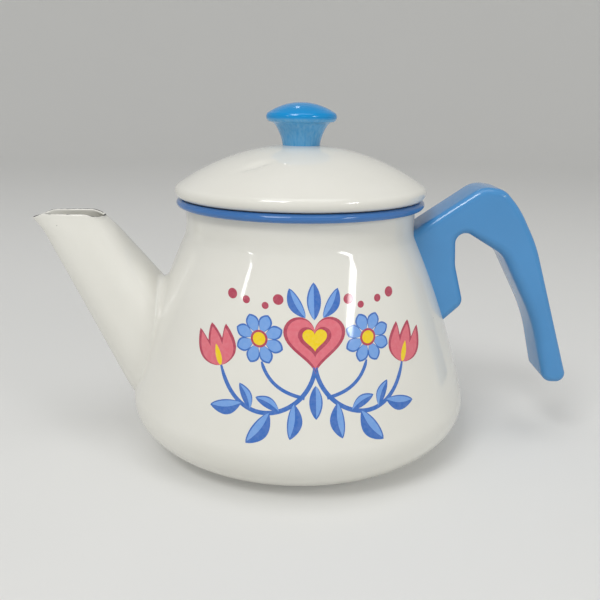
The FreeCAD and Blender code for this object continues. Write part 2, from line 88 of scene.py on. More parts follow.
def mm(value, description):
    """A length property, its default given in millimetres."""
    return metres(value * MM, description)


def ratio(value, description):
    """A plain number property."""
    return FloatProperty(description=description, default=value)


def turn(value, description):
    """An angle property, its default given in degrees."""
    return FloatProperty(description=description, default=radians(value), subtype="ANGLE")


def tint(code, description):
    """A colour property, its default given as sRGB hex."""
    return FloatVectorProperty(description=description, default=srgb(code), subtype="COLOR", size=3)


class KettlePot(bpy.types.PropertyGroup):
    """Outline of the pot, which the spout and the print sit on."""

    wall: mm(1.2, "Enamelled sheet with both coats")
    belly: metres(POT_TOP.y, "Largest radius")
    belly_corner: mm(19.0, "Radius of the turn into the wall")
    base_corner: mm(37.6, "Radius of the turn up from the base")
    base_turn: turn(53.0, "Turn of the base corner")
    bulge: mm(486.0, "Radius of the bulged wall")
    shoulder: mm(15.3, "Radius of the hollow shoulder")
    neck: mm(59.0, "Outer radius of the neck")
    neck_foot: mm(117.6, "Height where the neck starts")
    neck_top: metres(POT_TOP.z, "Height where the neck ends")
    dish: mm(1.0, "Middle of the base pressed up")
    dish_step: mm(3.0, "Width of the slope up to the dish")
    foot_ring: mm(6.0, "Width of the ring that it stands on")
    hole: mm(1.9, "Radius of a strainer hole")
    pitch: mm(8.0, "Between the holes of a row")
    margin: mm(8.0, "Holes inside the spout's foot")


class KettleSpout(bpy.types.PropertyGroup):
    """Tapered spout with a curled lip and a soft foot."""

    mouth_drop: mm(5.5, "Mouth below the top of the neck")
    reach: mm(50.0, "Lip beyond the belly")
    mouth_length: mm(36.6, "Mouth from back to tip")
    mouth_width: mm(22.0, "Mouth across")
    throat: mm(10.0, "Start of the flare below the mouth")
    flare: mm(1.0, "Tip thrown outwards")
    lip_drop: mm(2.6, "Tip curled down below the mouth")
    pinch: ratio(0.25, "How much narrower the tip is than the back")
    under_slope: ratio(0.525, "Run for each rise along the underside")
    top_slope: ratio(0.82, "Run for each rise along the top")
    taper: ratio(0.23, "Half-width gained along the axis")
    fullness: ratio(2.6, "2 is an ellipse, more has flatter sides")
    heel_rise: mm(6.6, "Turn of the underside above the belly's line")
    heel_back: mm(34.3, "Top of that section below the mouth")
    root_fall: mm(8.4, "End of the underside below the belly's line")
    root_back: mm(48.7, "Top of the end below the mouth")
    root_sink: mm(6.0, "End of the underside inside the belly")
    back_drop: mm(1.8, "Back of the lip rounded down")
    fillet_side: mm(3.6, "Glaze fillet on the pot beside the spout")
    fillet_top: mm(10.0, "Glaze fillet on the pot above the spout")
    fillet_rise: mm(2.6, "Glaze fillet up the spout's side")
    crotch_rise: mm(9.0, "Glaze fillet up the spout's top")


class KettleLid(bpy.types.PropertyGroup):
    """Domed lid with a rolled edge and a small dent."""

    edge: mm(3.6, "Radius of the rolled edge")
    dome: mm(109.4, "Radius of the dome")
    hole: mm(2.3, "Radius of the hole under the knob")
    inner: metres(SKIRT_TOP.y, "Inner radius of the flange")
    dent_out: mm(41.0, "Dent from the axis")
    dent_turn: turn(239.0, "Dent round the axis from the handle")
    dent_length: mm(6.0, "Half length of the dent")
    dent_width: mm(2.6, "Half width of the dent")
    dent_depth: mm(1.1, "Depth of the dent")
    dent_slant: turn(42.0, "Dent turned from the rim's direction")


class KettleKnob(bpy.types.PropertyGroup):
    """Waisted knob with a thick brim and a low domed top."""

    foot: mm(9.5, "Radius at the lid")
    neck_spread: mm(3.4, "Neck beyond the foot")
    neck_height: mm(9.0, "Neck above the lid")
    hollow: mm(0.6, "How far the neck curves in")
    brim_spread: mm(5.0, "Brim beyond the neck")
    flare: mm(2.3, "Rise of the flare under the brim")
    brim: mm(4.2, "Thickness of the brim")
    undercut: mm(1.3, "Brim's lower edge inside its widest line")
    ease: mm(0.6, "Brim's upper edge inside its widest line")


class KettleHandle(bpy.types.PropertyGroup):
    """Moulded handle, soft inside the grip and crisp along the top."""

    width: metres(2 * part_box("handle")[1].y, "Handle across")
    seat: mm(88.0, "Height that the outline is measured from")
    bore: mm(20.0, "Screw's counterbore below its washer")
    crisp: mm(3.6, "Edge radius along the arm's top")
    soft: mm(5.2, "Edge radius along the inside of the grip")
    plain: mm(3.5, "Edge radius elsewhere")


class KettlePrint(bpy.types.PropertyGroup):
    """Where the fired-on spray lies on the wall."""

    height: mm(73.0, "Middle of the spray above the table")
    aside: turn(5.6, "Middle of the spray round from the front")
    film: mm(0.03, "Thickness of one fired-on colour")


class KettleColours(bpy.types.PropertyGroup):
    """Colours of the finishes."""

    enamel: tint("EAE9E2", "Cover coat")
    enamel_thin: tint("E3E1D8", "Cover coat where it is thin")
    # Also the dark of the painted shadow line along the spout's lip.
    ground: tint("2B2A2E", "Dark coat and steel where the glaze is chipped")
    rim: tint("4078BC", "Band on the rolled rim")
    handle: tint("4F95D0", "Moulded handle")
    # Painted sheen: the paler tone on the knob's neck and under its brim stands in for its lit sheen and
    # glints.
    painted_sheen: tint("7CB8DE", "Knob where it is faded")
    knob: tint("0094DA", "Moulded knob")
    steel: tint("B4B4B0", "Zinc-plated fittings")
    brass: tint("C9A24E", "Turned insert")
    rubber: tint("3A3835", "Gasket")
    rose: tint("E0707E", "Print")
    dark_rose: tint("B4435A", "Print outlines")
    blue: tint("3D70C0", "Print")
    light_blue: tint("76A4E4", "Print")
    yellow: tint("F2D21E", "Print")
    floor: tint("D6D6D4", "Studio floor and backdrop")


class KettleStudio(bpy.types.PropertyGroup):
    """Camera, floor and backdrop."""

    distance: mm(394.98, "Camera in front of the kettle's axis")
    aside: mm(0.41, "Camera beside the kettle's axis")
    height: mm(180.4, "Camera above the table")
    pitch: turn(14.84, "Camera looking down")
    roll: turn(0.74, "Camera turned about its view")
    lens: ratio(45.6, "Focal length in millimetres")
    sensor: ratio(36.0, "Sensor width in millimetres")
    floor: metres(1.9, "Radius of the flat floor")
    curve: metres(0.9, "Radius of the curve from the floor to the wall")
    wall: metres(2.6, "Height of the wall round the floor")


GROUPS = {
    "kettle_pot": KettlePot,
    "kettle_spout": KettleSpout,
    "kettle_lid": KettleLid,
    "kettle_knob": KettleKnob,
    "kettle_handle": KettleHandle,
    "kettle_print": KettlePrint,
    "kettle_colours": KettleColours,
    "kettle_studio": KettleStudio,
}


# Surfaces

def grid_faces(rows, columns, wrap):
    """Quads of a grid of points, with the last column joined to the first where it wraps."""
    index = np.arange(rows * columns).reshape(rows, columns)
    if wrap:
        index = np.hstack([index, index[:, :1]])
    corners = [index[:-1, :-1], index[:-1, 1:], index[1:, 1:], index[1:, :-1]]
    return np.stack(corners, axis=-1).reshape(-1, 4)


def piece(name, points, faces=None, sharp=SHARP, caps=()):
    """A mesh object with poles welded, faces outwards and soft shading, of the faces or else a wrapped grid."""
    if faces is None:
        faces = grid_faces(*points.shape[:2], True)
    mesh = bpy.data.meshes.new(name)
    mesh.from_pydata(points.reshape(-1, 3).tolist(), [], faces.tolist() + [list(cap) for cap in caps])
    work = bmesh.new()
    work.from_mesh(mesh)
    bmesh.ops.remove_doubles(work, verts=work.verts, dist=WELD)
    bmesh.ops.recalc_face_normals(work, faces=work.faces)
    work.to_mesh(mesh)
    work.free()
    mesh.shade_smooth()
    mesh.set_sharp_from_angle(angle=radians(sharp))
    made = bpy.data.objects.new(name, mesh)
    bpy.context.scene.collection.objects.link(made)
    return made


def cut(made, tool):
    """Takes the tool's space out of a piece, and the tool away."""
    holes = made.modifiers.new("cut", "BOOLEAN")
    holes.operation, holes.object, holes.solver = "DIFFERENCE", tool, "EXACT"
    made.data = bpy.data.meshes.new_from_object(made.evaluated_get(bpy.context.evaluated_depsgraph_get()))
    made.modifiers.clear()
    bpy.data.objects.remove(tool)
    made.data.set_sharp_from_angle(angle=radians(SHARP))


def arc(centre, radius, start, end, count):
    """Points of a circle from one angle to another."""
    angle = np.linspace(start, end, count)
    return np.stack([centre[0] + radius * np.cos(angle), centre[1] + radius * np.sin(angle)], axis=1)


def straight(start, end, count):
    """Evenly spaced points between two points."""
    share = np.linspace(0, 1, count)[:, None]
    return np.asarray(start) * (1 - share) + np.asarray(end) * share


def three_point_arc(start, through, end, count):
    """Points of the circle through three points, taken as complex numbers."""
    a, b, c = (complex(*point) for point in (start, through, end))
    sides = (c - a) / (b - a)
    centre = a + (b - a) * (sides - abs(sides) ** 2) / (2j * sides.imag)
    angles = np.unwrap(np.angle([a - centre, b - centre, c - centre]))
    return arc((centre.real, centre.imag), abs(a - centre), angles[0], angles[2], count)


def turned(profile, steps):
    """A profile of radius and height carried round Z, with one row for each of its points."""
    angle = np.linspace(0, 2 * pi, steps, endpoint=False)
    radius, height = profile[:, :1], profile[:, 1:]
    return np.stack([radius * np.cos(angle), radius * np.sin(angle), height + 0 * angle], axis=-1)


def unit(vectors):
    """Vectors scaled to length 1."""
    return vectors / norm(vectors, axis=-1, keepdims=True)


def left(vectors):
    """Vectors of the plane turned a quarter to the left."""
    return np.stack([-vectors[..., 1], vectors[..., 0]], axis=-1)


def run_along(points):
    """Length along a line at each of its points."""
    return np.concatenate([[0], np.cumsum(norm(np.diff(points, axis=0), axis=1))])


def toward(angle):
    """The direction at an angle in the plane."""
    return np.array([cos(angle), sin(angle)])


def bezier(points, count):
    """Points of a cubic curve with four control points, or of many curves side by side."""
    a, b, c, d = (np.array(point, float) for point in points)
    s = np.linspace(0, 1, count).reshape(-1, *(1 for _ in a.shape))
    return (1 - s) ** 3 * a + 3 * (1 - s) ** 2 * s * b + 3 * (1 - s) * s ** 2 * c + s ** 3 * d


def pin(axis, radius, start, end, steps):
    """A round pin along a direction square to Y, as four rows: a middle, two rings and a middle."""
    across = np.array([0.0, 1.0, 0.0])
    angle = np.linspace(0, 2 * pi, steps, endpoint=False)[:, None]
    ring = radius * (np.cos(angle) * across + np.sin(angle) * np.cross(axis, across))
    rows = np.array([(0.0, start), (1.0, start), (1.0, end), (0.0, end)])
    return rows[:, :1, None] * ring + rows[:, 1:, None] * axis


def smooth_step(share):
    """0 to 1 with level ends: 3 s squared less 2 s cubed."""
    share = np.clip(share, 0, 1)
    return share * share * (3 - 2 * share)


# The pot's outline

# Points on each run of the outline from the foot to the top of the neck: to measure by, and in the mesh.
FINE_RUNS = (60, 40, 200, 40, 10)
MESH_RUNS = (28, 18, 36, 18, 4)
POT_STEPS = 320
PIN_STEPS = 24
PIN_ROWS = np.arange(-9, 10)  # more rows and columns of holes than the spout's foot can take
PIN_ENDS = (-1.1, -0.3)  # ends of a pin along X, as shares of the belly


def pot_side(pot, inset=0.0, counts=FINE_RUNS):
    """The pot's outline from the foot ring to the top of the neck, inset: four tangent arcs and a line."""
    turn_end = pot.base_turn - pi / 2
    step = pot.base_corner - pot.belly_corner
    foot = pot.belly - pot.belly_corner - step * cos(turn_end)
    base = np.array([foot, pot.base_corner])
    belly = base + step * toward(turn_end)
    shoulder = np.array([pot.neck + pot.shoulder, pot.neck_foot])
    to_belly, to_shoulder = pot.bulge - pot.belly_corner, pot.bulge + pot.shoulder
    across = shoulder - belly
    span = norm(across)
    along = (to_belly ** 2 - to_shoulder ** 2 + span ** 2) / (2 * span)
    aside = sqrt(to_belly ** 2 - along ** 2)
    wall = belly + (across * along + left(across) * aside) / span
    low = atan2(*(belly - wall)[::-1])
    high = atan2(*(shoulder - wall)[::-1])
    return np.vstack([
        arc(base, pot.base_corner - inset, -pi / 2, turn_end, counts[0]),
        arc(belly, pot.belly_corner - inset, turn_end, low, counts[1])[1:],
        arc(wall, pot.bulge - inset, low, high, counts[2])[1:],
        arc(shoulder, pot.shoulder + inset, pi + high, pi, counts[3])[1:],
        straight((pot.neck - inset, pot.neck_foot), (pot.neck - inset, pot.neck_top), counts[4])[1:],
    ])


def pot_sheet(pot):
    """Closed outline of the pot's sheet: dished base and outside, then the same inset by the wall."""
    faces = []
    for inset in (0.0, pot.wall):
        side = pot_side(pot, inset, MESH_RUNS)
        step = side[0, 0] - pot.foot_ring
        base = np.array([(0, pot.dish), (step - pot.dish_step, pot.dish), (step, 0)]) + (0, inset)
        faces.append(np.vstack([base, side]))
    return np.vstack([faces[0], faces[1][::-1]])


def strainer_pins(pot, spout):
    """Round pins along X in staggered rows, inside an oval in the spout's foot."""
    back = pot.neck_top - spout.mouth_drop
    belly_line = pot.base_corner - (pot.base_corner - pot.belly_corner) * cos(pot.base_turn)
    low, high = belly_line + spout.heel_rise, back - spout.heel_back
    middle = (low + back - spout.root_back) / 2
    lean = (spout.under_slope * (back - low) + spout.top_slope * (back - high)) / 2
    run = np.array([lean, back - (low + high) / 2])
    tall = (high - low) / 2 - pot.margin
    wide = spout.mouth_width / 2 + spout.taper * norm(run) - pot.margin
    row, column = np.meshgrid(PIN_ROWS, PIN_ROWS, indexing="ij")
    up = row * pot.pitch * cos(pi / 6)
    aside = (column + 0.5 * (row % 2)) * pot.pitch
    kept = (up / tall) ** 2 + (aside / wide) ** 2 < 1
    centres = np.stack([0 * up[kept], aside[kept], middle + up[kept]], axis=-1)
    one = pin(np.array([1.0, 0.0, 0.0]), pot.hole, *(share * pot.belly for share in PIN_ENDS), PIN_STEPS)
    faces = grid_faces(*one.shape[:2], True) + one.size // 3 * np.arange(len(centres))[:, None, None]
    return centres[:, None, None] + one, faces.reshape(-1, 4)


def pot_radius(side, height):
    """Outer radius of the pot at a height."""
    return np.interp(height, side[:, 1], side[:, 0])


def pot_slope(side, height, nudge=0.2 * MM):
    """Radius gained for each rise at a height, measured over a nudge up and down."""
    return (pot_radius(side, height + nudge) - pot_radius(side, height - nudge)) / (2 * nudge)


def pot_normal(side, points):
    """Outward normal of the pot at points on it, from the outline's slope."""
    around = unit(points[..., :2])
    return unit(np.concatenate([around, -pot_slope(side, points[..., 2:])], axis=-1))


def onto_pot(side, points):
    """Points moved level to the pot's outer surface."""
    radius = pot_radius(side, points[..., 2])
    return np.concatenate([unit(points[..., :2]) * radius[..., None], points[..., 2:]], axis=-1)


# Spout

SPOUT_STEPS = 192
SPOUT_SHARP = 60.0
LIP_START, BACK_START = 0.55, 0.5  # where the mouth's tip and back start to curl down, as shares of its half
FLARE_ROWS, OUTER_ROWS, INNER_ROWS, FILLET_ROWS, LIP_ROWS = 14, 30, 24, 18, 11
HALVINGS = 40
CROTCH_START, CROTCH_POWER = 0.2, 4  # cosine where the fillet starts to grow to the top, and how late it does
FILLET_PULL = 0.55  # how far the fillet's cubic reaches into its corner, as a share of each side
HIDDEN_EDGE = ((0.15, 0.1 * MM), (0.3, 0.5 * MM))  # past the fillet: share of its reach, depth in the wall
CREST = 0.9  # rise of the lip's bead over its half thickness
CHIP_AND_SHADE_SPREAD = 0.2  # chips and painted lip shade on the rows beside the bead, where 1 is its crest


def spout_sections(spout, pot, belly_line, inset, angle):
    """Superellipses at the mouth, throat, heel and root, each in its own leaning plane."""
    back = pot.neck_top - spout.mouth_drop
    tip = -pot.belly - spout.reach

    def under(height):
        return np.array([tip + spout.under_slope * (back - height), 0, height])

    def top(height):
        return np.array([tip + spout.mouth_length + spout.top_slope * (back - height), 0, height])

    middle = (under(back) + top(back)) / 2
    throat = back - spout.throat
    root = np.array([-pot.belly + spout.root_sink, 0, belly_line - spout.root_fall])
    lip = under(back) - np.array([spout.flare, 0, 0])
    pairs = [
        (lip, top(back), spout.pinch),
        (under(throat), top(throat), spout.pinch / 2),
        (under(belly_line + spout.heel_rise), top(back - spout.heel_back), 0),
        (root, top(back - spout.root_back), 0),
    ]
    power = 2 / spout.fullness
    cosine, sine = np.cos(angle), np.sin(angle)
    along = np.sign(cosine) * np.abs(cosine) ** power
    across = np.sign(sine) * np.abs(sine) ** power
    sections = []
    for place, (outer, inner, pinch) in enumerate(pairs):
        centre = (outer + inner) / 2
        width = spout.mouth_width / 2 + (place > 0) * spout.taper * norm(centre - middle)
        reach = norm(outer - centre) - inset
        section = centre + (along * reach)[:, None] * unit(outer - centre)
        section[:, 1] += (width - inset) * across * (1 - pinch * cosine)
        tip_curl = spout.lip_drop * smooth_step((along - LIP_START) / (1 - LIP_START))
        back_curl = spout.back_drop * smooth_step((-along - BACK_START) / (1 - BACK_START))
        section[:, 2] -= (place == 0) * (tip_curl + back_curl)
        sections.append(section)
    return sections


def crossing(side, throat, heel, root, depth):
    """How far down each line of the spout meets the pot, by halving: 0 at the throat, 1 heel, 2 root."""
    low, high = np.zeros(len(throat)), np.full(len(throat), 2.0)
    for _ in range(HALVINGS):
        half = (low + high) / 2
        points = down_spout(throat, heel, root, half)
        outside = np.hypot(points[:, 0], points[:, 1]) > pot_radius(side, points[:, 2]) - depth
        low, high = np.where(outside, half, low), np.where(outside, high, half)
    return low


def down_spout(throat, heel, root, place):
    """Points on the spout's straight lines, 0 at the throat, 1 at the heel and 2 at the root."""
    first = np.clip(place, 0, 1)[:, None]
    second = np.clip(place - 1, 0, 1)[:, None]
    return throat + (heel - throat) * first + (root - heel) * second


def spout_rows(sections, ends, rows):
    """Rows from the mouth to the ends, flared above the throat by the square of the share left."""
    mouth, throat, heel, root = sections
    rise = (mouth[:, 2] - throat[:, 2]) / (throat[:, 2] - heel[:, 2])
    beyond = throat + (throat - heel) * rise[:, None]
    shares = np.linspace(1, 0, FLARE_ROWS)
    flare = [throat + (beyond - throat) * share + (mouth - beyond) * share ** 2 for share in shares]
    body = [down_spout(throat, heel, root, ends * share) for share in np.linspace(0, 1, rows)[1:]]
    return np.array(flare + body)


def spout_points(spout, pot, side):
    """The spout as one grid, and each row's share of chips and painted lip shade: hidden edge, fillet, outside,
    rolled lip and inside.

    The fillet is a cubic curve on each line of the spout, from the line to the wall, tangent to both.
    """
    angle = np.linspace(0, 2 * pi, SPOUT_STEPS, endpoint=False)
    belly_line = side[np.argmax(side[:, 0]), 1]
    outside = spout_sections(spout, pot, belly_line, 0, angle)
    meets = crossing(side, *outside[1:], 0)
    corner = onto_pot(side, down_spout(*outside[1:], meets))
    step_up = norm(outside[2] - outside[1], axis=1)
    above = smooth_step((CROTCH_START - np.cos(angle)) / (1 + CROTCH_START)) ** CROTCH_POWER
    climb = spout.fillet_rise + (spout.crotch_rise - spout.fillet_rise) * above
    start = np.clip(meets - climb / step_up, 0, None)
    rise = down_spout(*outside[1:], start)
    ahead = np.roll(corner, -1, axis=0) - np.roll(corner, 1, axis=0)
    away = unit(np.cross(unit(ahead), pot_normal(side, corner)))
    away *= np.sign(np.sum(away * (corner - corner.mean(axis=0)), axis=1))[:, None]
    reach = (spout.fillet_side + (spout.fillet_top - spout.fillet_side) * above)[:, None]
    foot = onto_pot(side, corner + away * reach)
    normal = pot_normal(side, foot)
    level = unit(away - np.sum(away * normal, axis=1, keepdims=True) * normal)
    first = rise + (corner - rise) * FILLET_PULL
    fillet = bezier([rise, first, foot - level * reach * FILLET_PULL, foot], FILLET_ROWS)
    sunk = np.array([foot + level * reach * past - normal * depth for past, depth in HIDDEN_EDGE])
    skirt = np.concatenate([fillet, sunk])[:0:-1]

    lean = sqrt(1 + spout.top_slope ** 2)
    within = spout_sections(spout, pot, belly_line, pot.wall * lean, angle)
    inner = spout_rows(within, crossing(side, *within[1:], pot.wall / 2), INNER_ROWS)
    outer = spout_rows(outside, start, OUTER_ROWS)[::-1]
    middle, half = (outer[-1] + inner[0]) / 2, (outer[-1] - inner[0]) / 2
    bow = np.linspace(0, pi, LIP_ROWS)[1:-1, None, None]
    crest = np.array([0, 0, 1]) * norm(half, axis=1, keepdims=True) * CREST
    lip = middle + half * np.cos(bow) + crest * np.sin(bow)
    # Most on the lip's crest: real chips, and a painted shadow line along the lip.
    chip_and_shade_rows = [np.zeros(len(skirt)), np.zeros(len(outer)), np.sin(bow[:, 0, 0]), np.zeros(len(inner))]
    chip_and_shade_rows[1][-1] = chip_and_shade_rows[3][0] = CHIP_AND_SHADE_SPREAD
    return np.concatenate([skirt, outer, lip, inner]), np.concatenate(chip_and_shade_rows)


# Lid and knob

LID_STEPS, KNOB_STEPS = 288, 160
LID_RUNS = (120, 24, 8)  # points on the dome, the rolled edge and the flange
KNOB_RUNS = (12, 30, 14, 18, 40)  # points on the foot, neck, flare, brim and cap
KNOB_SINK = 0.6 * MM  # foot let into the dome


def lid_profile(lid, wall):
    """Closed outline of the lid's sheet: dome, rolled edge, flange and the same inset by the wall."""
    edge = np.array([LID_TOP.y - lid.edge, LID_LOW.z + lid.edge])
    centre = np.array([0, edge[1] - sqrt((lid.dome - lid.edge) ** 2 - edge[0] ** 2)])
    end = atan2(edge[1] - centre[1], edge[0])

    def face(inset):
        start = acos(lid.hole / (lid.dome - inset))
        roll = arc(edge, lid.edge - inset, end, -pi / 2, LID_RUNS[1])
        return np.vstack([
            arc(centre, lid.dome - inset, start, end, LID_RUNS[0]),
            roll[1:],
            straight(roll[-1], (lid.inner, roll[-1][1]), LID_RUNS[2])[1:],
        ])

    return np.vstack([face(0), face(wall)[::-1]])


def dented(points, lid):
    """The lid pressed by an oval dent: depth times exp of minus the squared distances over its half sizes."""
    along = toward(lid.dent_turn + pi / 2 + lid.dent_slant)
    across = left(along)
    gap = points[..., :2] - lid.dent_out * toward(lid.dent_turn)
    press = np.exp(-(gap @ along / lid.dent_length) ** 2 - (gap @ across / lid.dent_width) ** 2)
    pressed = points.copy()
    pressed[..., 2] -= lid.dent_depth * press * (points[..., 2] > LID_LOW.z + lid.edge)
    return pressed


def knob_profile(knob):
    """Outline from the middle of the foot to the crown: neck arc, flare, rounded brim and cap."""
    foot = LID_TOP.z - KNOB_SINK
    neck = np.array([knob.foot + knob.neck_spread, LID_TOP.z + knob.neck_height])
    brim = neck[0] + knob.brim_spread
    under = np.array([brim - knob.undercut, neck[1] + knob.flare])
    shoulder = np.array([brim - knob.ease, under[1] + knob.brim])
    waist = np.array([(knob.foot + neck[0]) / 2 - knob.hollow, (foot + neck[1]) / 2])
    flare = (neck + under) / 2 + np.array([-knob.hollow, knob.hollow / 2])
    crown = KNOB_TOP.z - shoulder[1]
    cap = (shoulder[0] ** 2 + crown ** 2) / (2 * crown)
    cap_start = asin((KNOB_TOP.z - cap - shoulder[1]) / -cap)
    return np.vstack([
        straight((0, foot), (knob.foot, foot), KNOB_RUNS[0]),
        three_point_arc((knob.foot, foot), waist, neck, KNOB_RUNS[1])[1:],
        three_point_arc(neck, flare, under, KNOB_RUNS[2])[1:],
        three_point_arc(under, (brim, under[1] + knob.brim / 2), shoulder, KNOB_RUNS[3])[1:],
        arc((0, KNOB_TOP.z - cap), cap, cap_start, pi / 2, KNOB_RUNS[4])[1:],
    ])


# Handle

# Corners of the outline in mm out and up from the seat, with the radius of each and its edge.
HANDLE_CORNERS = (
    (-20.0, 22.8, 8.0, "crisp"),
    (21.4, 51.2, 20.0, "crisp"),
    (32.7, 49.4, 9.5, "plain"),
    (41.2, 39.8, 50.0, "plain"),
    (50.9, 21.4, 80.0, "plain"),
    (73.7, -52.3, 5.5, "plain"),
    (60.9, -52.3, 5.5, "plain"),
    (52.2, -18.4, 100.0, "soft"),
    (34.1, 16.1, 14.0, "soft"),
    (9.0, 31.3, 5.0, "plain"),
    (10.0, 10.5, 20.0, "plain"),
    (15.2, -9.5, 5.5, "plain"),
    (0.0, -24.0, 8.0, "plain"),
    (-20.0, -4.0, 8.0, "plain"),
)
CORNER_ROOM = 0.48  # share of a side that one corner's arc may take
CORNER_POINTS, LOOP_POINTS, EDGE_LOOPS, BORE_STEPS = 13, 900, 12, 48
BLEND = 20  # points to each side over which the edge radius is smoothed
FLAT_INSET = 0.3 * MM  # loop on the flat face inside its rounded edge
BORE_EASE, BORE_LAP = 0.3 * MM, 0.5 * MM  # bore wider than the washer, and above its middle


def handle_outline(handle, seat):
    """The outline, with each corner an arc tangent to its sides, and the edge radius along it."""
    table = np.array([corner[:3] for corner in HANDLE_CORNERS]) * MM
    radii = np.array([getattr(handle, corner[3]) for corner in HANDLE_CORNERS])
    corners, rounding = seat + table[:, :2], table[:, 2]
    back, ahead = np.roll(corners, 1, axis=0) - corners, np.roll(corners, -1, axis=0) - corners
    to_back, to_ahead = unit(back), unit(ahead)
    half = np.arccos(np.clip(np.sum(to_back * to_ahead, axis=1), -1, 1)) / 2
    room = CORNER_ROOM * np.minimum(norm(back, axis=1), norm(ahead, axis=1))
    trim = np.minimum(rounding / np.tan(half), room)[:, None]
    start, end = corners + to_back * trim, corners + to_ahead * trim
    share = np.linspace(0, 1, CORNER_POINTS)[None, :, None]
    first, last = (1 - share) ** 2, share ** 2
    weight = 2 * np.sin(half)[:, None, None] * share * (1 - share)
    points = first * start[:, None] + weight * corners[:, None] + last * end[:, None]
    return (points / (first + weight + last)).reshape(-1, 2), np.repeat(radii, CORNER_POINTS)


def even_loop(points, values, count):
    """A closed line and a value along it, spaced evenly, with the value smoothed."""
    ring = np.vstack([points, points[:1]])
    run = run_along(ring)
    place = np.linspace(0, run[-1], count, endpoint=False)
    even = np.stack([np.interp(place, run, ring[:, axis]) for axis in (0, 1)], axis=1)
    value = np.interp(place, run, np.append(values, values[0]))
    weights = np.hanning(2 * BLEND + 1)
    wrapped = np.concatenate([value[-BLEND:], value, value[:BLEND]])
    return even, np.convolve(wrapped, weights / weights.sum(), "valid")


def handle_points(handle, seat):
    """Loops of the outline across the bar, inset by r (1 - sin t) where r (1 - cos t) below the face."""
    outline, radius = even_loop(*handle_outline(handle, seat), LOOP_POINTS)
    ahead = unit(np.roll(outline, -2, axis=0) - np.roll(outline, 2, axis=0))
    inward = -left(ahead)
    half = handle.width / 2
    across = [(radius + FLAT_INSET, half + 0 * radius)]
    for angle in np.linspace(0, pi / 2, EDGE_LOOPS):
        across.append((radius * (1 - sin(angle)), half - radius * (1 - cos(angle))))
    loops = []
    for face, steps in ((-1, across), (1, across[::-1])):
        for inset, out in steps:
            loop = outline + inward * inset[:, None]
            loops.append(np.stack([loop[:, 0], face * out, loop[:, 1]], axis=1))
    return np.array(loops)


def counterbore(side, handle):
    """A pin along the handle screw, from the top of its washer down through the leg's toe."""
    low, high = (np.array(corner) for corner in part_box("handle_washer"))
    upward = unit(np.array([pot_slope(side, handle.seat, MM), 0.0, 1.0]))
    radius = (high[1] - low[1]) / 2 + BORE_EASE
    return (low + high) / 2 + pin(upward, radius, BORE_LAP, -handle.bore, BORE_STEPS)


# Printed spray, drawn flat in millimetres round its middle

# Points of each patch along and across it, or round it and out from its middle.
LEAF_GRID, DISC_GRID, HEART_GRID, STEM_ACROSS = (17, 9), (33, 5), (65, 6), 5
LEAF_ROUNDING = 0.75  # power of the sine, under 1 for fuller ends
STEM_TAPER = (8, 0.5)  # share of a stem's width from its foot to its end, where over 1 is full width


def almond(base, heading, size, width, bend=0.0, blunt=1.0):
    """A leaf or petal: a bowed line with half-width a power of sin(pi s to a power), as rows along it."""
    share = np.linspace(0, 1, LEAF_GRID[0])[:, None]
    ahead = toward(radians(heading))
    aside = left(ahead)
    line = np.array(base) + ahead * size * share + aside * size * bend * np.sin(pi * share)
    half = width / 2 * np.sin(pi * share ** blunt) ** LEAF_ROUNDING
    spread = np.linspace(-1, 1, LEAF_GRID[1])
    return line[:, None] + (half * spread)[..., None] * aside


def filled(centre, outline, count):
    """A closed outline filled with rings from its middle."""
    return np.array(centre) + outline[:, None] * np.linspace(0, 1, count)[None, :, None]


def disc(centre, radius):
    """A round dot."""
    angle = np.linspace(0, 2 * pi, DISC_GRID[0])
    return filled(centre, radius * np.stack([np.cos(angle), np.sin(angle)], axis=-1), DISC_GRID[1])


def heart(centre, size):
    """A heart by the usual sine and cosine curve, which is 32 units wide."""
    angle = np.linspace(0, 2 * pi, HEART_GRID[0])
    x = 16 * np.sin(angle) ** 3
    y = 13 * np.cos(angle) - 5 * np.cos(2 * angle) - 2 * np.cos(3 * angle) - np.cos(4 * angle)
    return filled(centre, size / 32 * np.stack([x, y], axis=-1), HEART_GRID[1])


def ribbon(line, width):
    """A stem of even width along a line, pointed at its far end."""
    ahead = unit(np.gradient(line, axis=0))
    half = width / 2 * np.minimum(1, np.linspace(*STEM_TAPER, len(line)))[:, None]
    spread = np.linspace(-1, 1, STEM_ACROSS)
    return line[:, None] + (half * spread)[..., None] * left(ahead)[:, None]


def mirrored(patches):
    """Patches and their mirror images across the spray's middle."""
    return patches + [(layer, patch * np.array([-1, 1])) for layer, patch in patches]


def tulip(base, heading, colours, size=19.0):
    """Three pointed petals with darker edges round a yellow heart, as layers by colour."""
    for swing, width, bend in ((-24, 0.42, -0.14), (24, 0.42, 0.14), (0, 0.46, 0.0)):
        petal = heading + swing
        colours["dark_rose"].append((1, almond(base, petal, size, width * size, bend, 0.85)))
        colours["rose"].append((2, almond(base, petal, size * 0.9, width * size * 0.76, bend, 0.85)))
    colours["yellow"].append((3, almond(base, heading, size * 0.5, size * 0.16, 0.0, 0.8)))


def two_tone_leaf(base, heading, size, width, bend, colours):
    """A leaf with one light and one dark half."""
    colours["blue"].append((1, almond(base, heading, size, width, bend)))
    inner = almond(base, heading, size * 0.94, width * 0.8, bend)
    colours["light_blue"].append((2, inner[:, LEAF_GRID[1] // 2:]))


